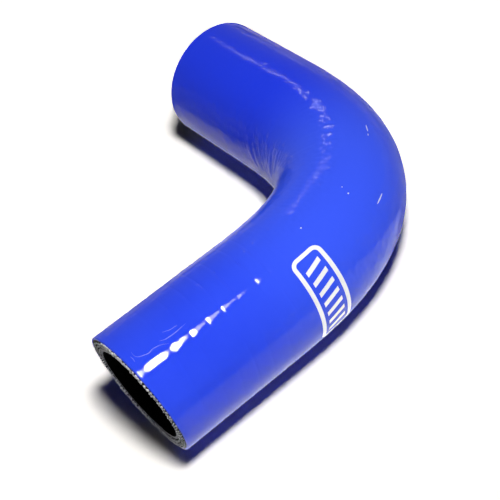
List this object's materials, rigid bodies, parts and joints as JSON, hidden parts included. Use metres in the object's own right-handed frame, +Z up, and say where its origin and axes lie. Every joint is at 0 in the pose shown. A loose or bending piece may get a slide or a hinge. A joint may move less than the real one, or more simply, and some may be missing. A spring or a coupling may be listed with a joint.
{
  "type": "silicone hose elbow coupler",
  "caption": "Right-angle reinforced silicone hose elbow with an open round bore, clamped over two pipe ends to join them round a corner.",
  "frame": {"origin": "under the middle of the bounding box, on the surface that the hose lies on", "axes": "+Z up, square to the plane of the bend; +Y from the near cut end along the near leg; the far leg's open end faces -X"},
  "size_m": [0.1166, 0.1294, 0.042],
  "materials": {
    "blue_silicone": "glossy cured silicone"
  },
  "bodies": {
    "root": {"hose_elbow": "blue_silicone"}
  },
  "joints": []
}
